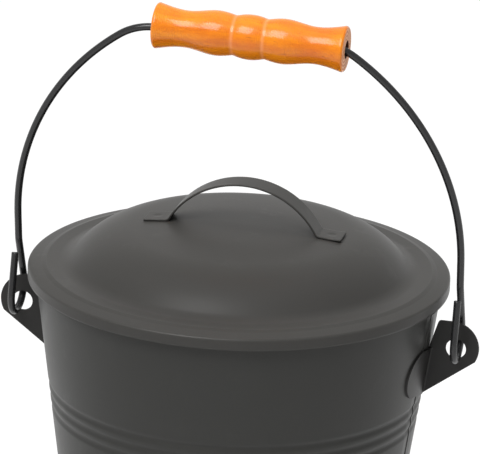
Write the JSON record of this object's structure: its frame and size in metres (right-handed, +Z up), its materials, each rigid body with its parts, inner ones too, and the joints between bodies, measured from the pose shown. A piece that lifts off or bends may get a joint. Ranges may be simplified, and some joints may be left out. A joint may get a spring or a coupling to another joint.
{
  "type": "ash bucket",
  "caption": "Round tapered sheet-metal ash bucket with a domed lift-off lid, a strap lid handle, welded side ears and a swinging wire bail with a turned wooden grip.",
  "frame": {"origin": "middle of the bucket's foot, on the floor", "axes": "+Z up, the two ears and the ends of the bail on the X axis, and the bail at rest leans towards -Y"},
  "size_m": [0.2802, 0.24, 0.3894],
  "materials": {
    "dark_coat": "matte dark grey powder coat on sheet steel",
    "lid_coat": "matte dark grey powder coat on pressed sheet steel",
    "wire_coat": "glossy black coat on round steel wire",
    "grip_wood": "turned light wood under glossy orange varnish"
  },
  "bodies": {
    "bucket": {"body_wall": "dark_coat", "rim_wire": "dark_coat", "base_pan": "dark_coat", "ear_left": "dark_coat", "ear_right": "dark_coat"},
    "lid": {"lid_shell": "lid_coat", "lid_handle": "lid_coat"},
    "bail": {"bail": "wire_coat"},
    "grip": {"grip": "grip_wood"}
  },
  "joints": [
    {"name": "lid_lift", "type": "slide", "parent": "bucket", "child": "lid", "axis": [0, 0, 1], "range_m": [0, 0.05]},
    {"name": "bail_swing", "type": "hinge", "parent": "bucket", "child": "bail", "pos_m": [0, -0.00657, 0.20742], "axis": [1, 0, 0], "range_deg": [-120, 130]},
    {"name": "grip_spin", "type": "hinge", "parent": "bail", "child": "grip", "pos_m": [0.008, -0.02663, 0.37472], "axis": [0.9995, 0.0047, -0.0318], "continuous": true}
  ]
}
